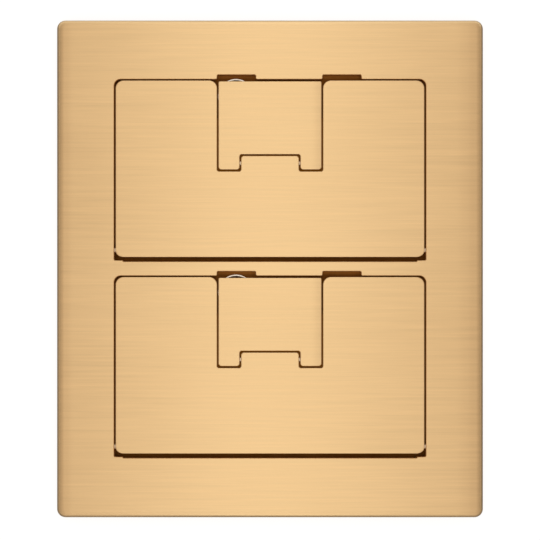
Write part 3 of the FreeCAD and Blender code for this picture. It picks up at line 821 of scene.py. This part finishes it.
@dataclass
class CountersunkScrews:
    """A set of countersunk screws that stand for one node, each in the seat of one of its solids."""

    node: str
    body: str
    form: ScrewForm
    slot: Slot = Slot.SCREW

    def seats(self) -> np.ndarray:
        """The middle of each solid's lowest face, found by walking its welded mesh.

        Returns:
            One row of X, Y and Z for each screw, in metres.
        """
        shell = bmesh.new()
        shell.from_mesh(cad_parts[self.node].data)
        bmesh.ops.remove_doubles(shell, verts=shell.verts, dist=SOLID_WELD)
        waiting = set(shell.verts)
        seats = []
        while waiting:
            island = [waiting.pop()]
            for vertex in island:
                for edge in vertex.link_edges:
                    other = edge.other_vert(vertex)
                    if other in waiting:
                        waiting.remove(other)
                        island.append(other)
            places = np.array([vertex.co[:] for vertex in island])
            low, high = places.min(axis=0), places.max(axis=0)
            seats.append([(low[0] + high[0]) / 2, (low[1] + high[1]) / 2, low[2]])
        shell.free()
        return np.array(sorted(seats))

    def build(self) -> bpy.types.Object:
        """Sets one screw in each seat, each turned a little further than the one before.

        Returns:
            The piece, which replaces the node.
        """
        form = self.form.points() * MILLIMETRE
        faces = grid_faces(form.shape[0], form.shape[1])
        seats = self.seats()
        turn = np.radians(23.0 + 67.0 * np.arange(len(seats)))[:, None, None]
        across, along, up = form[None, ..., 0], form[None, ..., 1], form[None, ..., 2]
        placed = np.stack([
            across * np.cos(turn) - along * np.sin(turn) + seats[:, 0, None, None],
            across * np.sin(turn) + along * np.cos(turn) + seats[:, 1, None, None],
            up + 0.0 * turn + seats[:, 2, None, None],
        ], axis=-1)
        count = form.shape[0] * form.shape[1]
        numbered = faces[None] + (np.arange(len(seats)) * count)[:, None, None]
        piece = linked_piece(f"{self.node}_threaded", surface_mesh(f"{self.node}_form", placed, numbered))
        SHOP.wear(piece, self.slot)
        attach(piece, self.body)
        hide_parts(self.node)
        LOG.info("%s: %d screws, %d faces", piece.name, len(seats), len(piece.data.polygons))
        return piece


@dataclass
class FlangeGasket:
    """The rubber ring under the flange, with sealing grooves moulded round its lower face, in millimetres."""

    node: str = "flange_gasket"
    inner_node: str = "support_plate"
    inner_clearance: float = 1.0
    outer_corner: float = 3.0
    inner_corner: float = 4.0
    groove_depth: float = 0.45
    grooves: int = 3
    groove_margin: float = 0.14
    edge_share: float = 0.03
    edge_ease: float = 0.25
    face_points: int = 57
    corner_points: int = 14

    def rounded_loop(self, half: np.ndarray, corner: np.ndarray) -> np.ndarray:
        """Rounded rectangles: each corner is a quarter circle about a point set in by the corner's radius.

        Args:
            half: half the width and half the length of each loop.
            corner: each loop's corner radius.

        Returns:
            X and Y by loop and point, in millimetres.
        """
        quarter = np.linspace(0.0, math.pi / 2, self.corner_points)
        angle = np.concatenate([quarter + turn * math.pi / 2 for turn in range(4)])
        side_x = np.repeat([1.0, -1.0, -1.0, 1.0], self.corner_points)
        side_y = np.repeat([1.0, 1.0, -1.0, -1.0], self.corner_points)
        across = side_x * (half[:, :1] - corner[:, None]) + corner[:, None] * np.cos(angle)
        along = side_y * (half[:, 1:] - corner[:, None]) + corner[:, None] * np.sin(angle)
        return np.stack([across, along], axis=-1)

    def section(self, thickness: float) -> tuple[np.ndarray, np.ndarray]:
        """The ring's section as a closed profile.

        The lower face is level apart from the grooves, whose depth is a half sine across each, and the edges are
        eased where the faces meet.

        Args:
            thickness: the ring's height in millimetres.

        Returns:
            The share of the way from the outer to the inner edge, and the height, at each point.
        """
        near, far, margin = self.edge_share, 1.0 - self.edge_share, self.groove_margin
        share = np.linspace(near, far, self.face_points)
        turned = (share - margin) / (1.0 - 2 * margin) * 2 * math.pi * self.grooves
        wave = np.maximum(np.sin(turned - math.pi / 2), 0.0)
        inside = (share > margin) & (share < 1.0 - margin)
        lower = np.where(inside, wave * self.groove_depth, 0.0)
        eased = thickness - self.edge_ease
        across = np.concatenate([[0.0, 0.0], share, [1.0, 1.0], [far, near]])
        height = np.concatenate([[eased, self.edge_ease], lower, [self.edge_ease, eased], [thickness, thickness]])
        return across, height

    def build(self) -> bpy.types.Object:
        """Carries the section round the ring, between the outer and the inner rounded rectangle.

        Each point of the section is a loop of its own, whose half sizes and corner lie between those of the two
        edges by its share of the way across.

        Returns:
            The piece, which replaces the node.
        """
        low, high = (np.array(corner[:]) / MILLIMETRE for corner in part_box(self.node))
        inner_low, inner_high = (np.array(corner[:]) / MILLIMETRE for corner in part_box(self.inner_node))
        outer_half = (high[:2] - low[:2]) / 2
        inner_half = (inner_high[:2] - inner_low[:2]) / 2 + self.inner_clearance
        share, height = self.section(high[2] - low[2])
        half = outer_half + share[:, None] * (inner_half - outer_half)
        corner = self.outer_corner + share * (self.inner_corner - self.outer_corner)
        loops = self.rounded_loop(half, corner)
        centre = (high[:2] + low[:2]) / 2
        level = np.broadcast_to((height + low[2])[:, None, None], (*loops.shape[:2], 1))
        points = np.concatenate([loops + centre, level], axis=-1) * MILLIMETRE
        rows, columns = points.shape[:2]
        faces = grid_faces(rows, columns)
        row_after = np.arange(columns)
        closing = np.stack([(rows - 1) * columns + row_after, (rows - 1) * columns + (row_after + 1) % columns,
                            (row_after + 1) % columns, row_after], axis=-1)
        piece = linked_piece("flange_gasket_moulded",
                             surface_mesh("flange_gasket_form", points, np.concatenate([faces, closing])))
        SHOP.wear(piece, Slot.GASKET)
        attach(piece, Body.COVER.of())
        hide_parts(self.node)
        LOG.info("%s: %d faces", piece.name, len(piece.data.polygons))
        return piece


@dataclass(frozen=True)
class CatchForm:
    """A thin-walled catch cup with its magnet, sunk in the support plate, in millimetres."""

    outer: float
    wall: float = 0.42
    seat: float = 0.02
    solid_outer: float = 6.1
    solid_inner: float = 5.2

    def rings(self, bay: str, catch: str) -> list[Ring]:
        """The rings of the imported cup, magnet and pocket, carried to those of the thin-walled cup.

        Args:
            bay: the bay's name.
            catch: which of the bay's catches.

        Returns:
            The pocket's ring, the cup's outer and inner ring and the magnet's ring.
        """
        low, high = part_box(f"{bay}_{catch}_catch_cup")
        middle = ((low[0] + high[0]) / 2, (low[1] + high[1]) / 2)
        inner = self.outer - self.wall
        radii = ((self.solid_outer + self.seat, self.outer + self.seat), (self.solid_outer, self.outer),
                 (self.solid_inner, inner), (self.solid_inner - self.seat, inner - self.seat))
        return [Ring(middle, solid * MILLIMETRE, wanted * MILLIMETRE) for solid, wanted in radii]


@dataclass(frozen=True)
class HigherEdges:
    """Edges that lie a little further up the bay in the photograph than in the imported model, in millimetres."""

    tail_shift: float = 0.34
    tail_strip: float = 1.7
    lid_reach: float = 60.0
    wall_gap: float = 1.5
    wall_shift: float = 0.2
    wall_strip: float = 0.6
    wall_reach: float = 53.0
    tongue_set: float = 27.2
    tongue_shift: float = 0.23
    tongue_strip: float = 1.2
    tongue_reach: float = 10.6
    notch_gap: float = 0.62
    notch_reach: float = 11.1

    def strip(self, line: float, width: float, shift: float, reach: float) -> Strip:
        """Returns the strip that ends a width above a line in metres, or below it where the width is negative."""
        return Strip(line + width * MILLIMETRE, line, shift * MILLIMETRE, reach * MILLIMETRE)

    def tail(self, bay: str) -> Strip:
        """Returns the strip along the lid's tail edge."""
        return self.strip(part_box(f"{bay}_lid")[0][1], self.tail_strip, self.tail_shift, self.lid_reach)

    def wall(self, bay: str) -> Strip:
        """Returns the strip along the frame's relieved wall behind the lid's tail."""
        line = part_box(f"{bay}_lid")[0][1] - self.wall_gap * MILLIMETRE
        return self.strip(line, self.wall_strip, self.wall_shift, self.wall_reach)

    def tongue(self, bay: str) -> Strip:
        """Returns the strip along the front of the lid's tongue."""
        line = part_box(f"{bay}_lid")[1][1] - self.tongue_set * MILLIMETRE
        return self.strip(line, -self.tongue_strip, self.tongue_shift, self.tongue_reach)

    def door_notch(self, bay: str) -> Strip:
        """Returns the strip along the cord door's edge that faces the tongue."""
        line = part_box(f"{bay}_lid")[1][1] - (self.tongue_set - self.notch_gap) * MILLIMETRE
        return self.strip(line, -self.tongue_strip, self.tongue_shift, self.notch_reach)


EDGES = HigherEdges()


@dataclass
class FixedCover:
    """The flange with its support plate, gasket and screws, and the catch halves that stay with them."""

    screw: ScrewForm = ScrewForm(shank=3.0, head=5.6, length=6.0, pitch=0.6, recess_reach=1.75, recess_width=0.85,
                                 recess_depth=1.35)
    door_catch: CatchForm = CatchForm(6.45)
    lid_catch: CatchForm = CatchForm(5.55)

    def build(self) -> None:
        """Builds the smooth frame and support plate, the gasket and the screws, and dresses the catches."""
        body = Body.COVER.of()
        SmoothCasting("frame", body, Slot.FRAME, [EDGES.wall(bay) for bay in BAYS]).build()
        pockets = []
        for bay in BAYS:
            for catch, form in (("door", self.door_catch), ("lid", self.lid_catch)):
                pocket, cup_outer, cup_inner, magnet = form.rings(bay, catch)
                pockets.append(pocket)
                SmoothCasting(f"{bay}_{catch}_catch_cup", body, Slot.CUP, (cup_outer, cup_inner)).build()
                SmoothCasting(f"{bay}_{catch}_catch_magnet", body, Slot.MAGNET, (magnet,)).build()
        SmoothCasting("support_plate", body, Slot.SUPPORT, pockets).build()
        FlangeGasket().build()
        CountersunkScrews("support_screws", body, self.screw).build()


@dataclass
class HingedLid:
    """One bay's lid with its hinge pins, axle keeper, keeper screws and strike."""

    bay: str
    screw: ScrewForm = ScrewForm(shank=2.0, head=3.8, length=3.6, pitch=0.4, recess_reach=1.15, recess_width=0.6,
                                 recess_depth=0.85, head_land=0.1, ridge=0.12, columns=60)

    def build(self) -> None:
        """Builds each piece of the lid on the lid's own body."""
        body = Body.LID.of(self.bay)
        SmoothCasting(f"{self.bay}_lid", body, Slot.LID, (EDGES.tail(self.bay), EDGES.tongue(self.bay))).build()
        for part, slot in (("lid_pins", Slot.PIN), ("axle_keeper", Slot.SUPPORT), ("lid_strike", Slot.STRIKE)):
            SmoothCasting(f"{self.bay}_{part}", body, slot).build()
        CountersunkScrews(f"{self.bay}_keeper_screws", body, self.screw).build()


@dataclass
class CordDoor:
    """One bay's small door over the cord opening, with its axle and strike."""

    bay: str

    def build(self) -> None:
        """Builds each piece of the door on the door's own body."""
        body = Body.CORD_DOOR.of(self.bay)
        SmoothCasting(f"{self.bay}_cord_door", body, Slot.DOOR, (EDGES.door_notch(self.bay),)).build()
        for part, slot in (("door_axle", Slot.PIN), ("door_strike", Slot.STRIKE)):
            SmoothCasting(f"{self.bay}_{part}", body, slot).build()


@dataclass(frozen=True)
class Camera:
    """A long lens straight above the cover, framed as the picture is."""

    distance: float = 1.0
    top: float = 0.00776
    metres_per_pixel: float = 0.00035711
    picture_width: int = 540
    sensor: float = 36.0
    offset_along: float = -0.00039

    def build(self) -> None:
        """Sets the lens so that the picture's width covers as many metres at the cover's top as it should."""
        camera = bpy.data.cameras.new("overhead_camera")
        camera.sensor_width = self.sensor
        camera.lens = self.distance * self.sensor / (self.picture_width * self.metres_per_pixel)
        camera.clip_start = 0.05
        camera.clip_end = 20.0
        holder = bpy.data.objects.new("overhead_camera", camera)
        holder.location = (0.0, self.offset_along, self.top + self.distance)
        bpy.context.scene.collection.objects.link(holder)
        bpy.context.scene.camera = holder
        LOG.info("camera: lens %.1f mm", camera.lens)


@dataclass(frozen=True)
class Studio:
    """A pale floor, an even soft surround and three long soft lamps that arch over the cover's middle."""

    overhead: Colour = (0.71, 0.62, 0.56)
    beside_share: float = 0.66
    lamp_width: float = 0.14
    lamp_height: float = 1.3
    lamp_radiance: float = 0.98
    lamp_colour: Colour = (0.93, 0.98, 1.0)
    floor_half: float = 3.0
    floor_drop: float = 0.0002
    floor_grey: float = 0.35
    floor_grain: float = 60.0
    floor_contrast: float = 1.02
    floor_glow: float = 0.84
    under_margin: float = -0.002
    cover_half: tuple[float, float] = (0.0762, 0.0889)
    shade_reach: float = 0.4
    far_shade_reach: float = 0.02
    # painted shade and painted bounce glow of the floor under the cover
    under_cover_painted_shade: Colour = (0.12, 0.07, 0.035)
    under_cover_painted_glow: Colour = (0.1, 0.033, 0.002)

    def build_world(self) -> None:
        """Lights the object from a dome that darkens to the left and the right and shows white to the camera."""
        world = bpy.data.worlds.new("soft_surround")
        world.use_nodes = True
        tree = world.node_tree
        tree.nodes.clear()
        output = tree.nodes.new("ShaderNodeOutputWorld")
        seen = tree.nodes.new("ShaderNodeMixShader")
        path = tree.nodes.new("ShaderNodeLightPath")
        white = tree.nodes.new("ShaderNodeBackground")
        dome = tree.nodes.new("ShaderNodeBackground")
        direction = tree.nodes.new("ShaderNodeTexCoord")
        split = tree.nodes.new("ShaderNodeSeparateXYZ")
        blend = tree.nodes.new("ShaderNodeMix")
        blend.data_type = "RGBA"
        ends = [socket for socket in blend.inputs if socket.type == "RGBA"]
        ends[0].default_value = (*self.overhead, 1.0)
        ends[1].default_value = (*shaded(self.overhead, self.beside_share), 1.0)
        sideways = tree.nodes.new("ShaderNodeMath")
        sideways.operation = "MULTIPLY"
        tree.links.new(direction.outputs["Generated"], split.inputs[0])
        tree.links.new(split.outputs["X"], sideways.inputs[0])
        tree.links.new(split.outputs["X"], sideways.inputs[1])
        tree.links.new(sideways.outputs[0], blend.inputs["Factor"])
        tree.links.new(next(socket for socket in blend.outputs if socket.type == "RGBA"), dome.inputs["Color"])
        white.inputs["Color"].default_value = (1.0, 1.0, 1.0, 1.0)
        white.inputs["Strength"].default_value = 1.0
        dome.inputs["Strength"].default_value = 1.0
        tree.links.new(path.outputs["Is Camera Ray"], seen.inputs["Fac"])
        tree.links.new(dome.outputs[0], seen.inputs[1])
        tree.links.new(white.outputs[0], seen.inputs[2])
        tree.links.new(seen.outputs[0], output.inputs["Surface"])
        bpy.context.scene.world = world

    def hang_lamp(self, name: str, length: float, place: tuple[float, float, float], lean: float) -> None:
        """Hangs one long soft lamp, as bright to look at as the others.

        Args:
            name: the lamp's name.
            length: its length across X, in metres.
            place: its middle.
            lean: its turn about X from facing down.
        """
        lamp = bpy.data.lights.new(name, "AREA")
        lamp.shape = "RECTANGLE"
        lamp.size, lamp.size_y = self.lamp_width, length
        lamp.energy = self.lamp_radiance * math.pi * self.lamp_width * length
        lamp.color = self.lamp_colour
        holder = bpy.data.objects.new(name, lamp)
        holder.location = place
        holder.rotation_euler = (lean, 0.0, 0.0)
        holder.visible_camera = False
        bpy.context.scene.collection.objects.link(holder)

    def build_lamps(self) -> None:
        """Hangs one lamp above the camera, along Y, and stands one at each of its ends."""
        reach = self.lamp_height
        self.hang_lamp("overhead_lamp", 2 * reach, (0.0, 0.0, reach), 0.0)
        self.hang_lamp("far_lamp", reach, (0.0, reach, reach / 2), -math.pi / 2)
        self.hang_lamp("near_lamp", reach, (0.0, -reach, reach / 2), math.pi / 2)

    def floor_material(self) -> bpy.types.Material:
        """A pale floor that keeps the shadow, with a white glow that stops under the cover so that its gaps stay
        dark; there it is coloured dark brown and glows faint brown instead, painted shade and painted bounce light
        seen through the gaps.

        Returns:
            The floor's material.
        """
        graph = FinishGraph("pale_floor")
        distance = graph.past_edge(self.cover_half)
        open_floor = graph.maths("GREATER_THAN", distance, self.under_margin)
        # painted shadow in reflections: the glow that the metal mirrors fades towards the cover, but stays full
        # beyond its far edge
        nearly = graph.ranged(distance, 0.0, 1.0, 0.0, self.shade_reach)
        far = self.cover_half[1]
        beyond = graph.ranged(graph.place("Y"), 0.0, 1.0, far, far + self.far_shade_reach)
        unshaded = graph.maths("MAXIMUM", nearly, beyond)
        path = graph.add(NodeKind.LIGHT_PATH)
        mirrored = graph.maths("MAXIMUM", path.outputs["Is Glossy Ray"], path.outputs["Is Transmission Ray"])
        mirrored = graph.maths("MULTIPLY", mirrored, unshaded)
        seen = graph.maths("MAXIMUM", path.outputs["Is Camera Ray"], mirrored)
        glow = graph.add(NodeKind.EMISSION)
        full = (self.floor_glow,) * 3
        # painted bounce light: under the cover the floor glows faint brown to camera rays, seen through the gaps
        graph.link(graph.tinted(open_floor, self.under_cover_painted_glow, full), glow.inputs["Color"])
        graph.link(seen, glow.inputs["Strength"])
        grain = graph.noise((self.floor_grain,) * 3, 3.0, 0.5)
        matt = graph.add(NodeKind.DIFFUSE)
        grey = (self.floor_grey,) * 3
        pale = graph.tinted(grain, grey, shaded(grey, self.floor_contrast))
        # painted shade: under the cover the floor is coloured dark brown
        graph.link(graph.tinted(open_floor, self.under_cover_painted_shade, pale), matt.inputs["Color"])
        both = graph.add(NodeKind.ADDED)
        graph.link(matt.outputs[0], both.inputs[0])
        graph.link(glow.outputs[0], both.inputs[1])
        output = graph.add(NodeKind.OUTPUT)
        graph.link(both.outputs[0], output.inputs["Surface"])
        return graph.material

    def build_floor(self) -> None:
        """Lays the floor just under the cover."""
        reach, level = self.floor_half, -self.floor_drop
        points = np.array([(-reach, -reach, level), (reach, -reach, level), (reach, reach, level),
                           (-reach, reach, level)])
        mesh = bpy.data.meshes.new("pale_floor")
        mesh.from_pydata(points.tolist(), [], [(0, 1, 2, 3)])
        floor = linked_piece("pale_floor", mesh)
        floor.data.materials.append(self.floor_material())

    def build(self) -> None:
        """Builds the surround, the lamps and the floor, and keeps colours as they are written."""
        bpy.context.scene.view_settings.view_transform = "Standard"
        self.build_world()
        self.build_lamps()
        self.build_floor()
        LOG.info("studio: lamps of %.2f W a square metre and steradian", self.lamp_radiance)


def main() -> None:
    """Builds the cover's sub-assemblies in order, then the studio."""
    logging.basicConfig(level=logging.INFO, format="%(name)s: %(message)s")
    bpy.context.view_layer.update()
    FixedCover().build()
    for bay in BAYS:
        HingedLid(bay).build()
        CordDoor(bay).build()
    Camera().build()
    Studio().build()


if __name__ == "__main__":
    main()
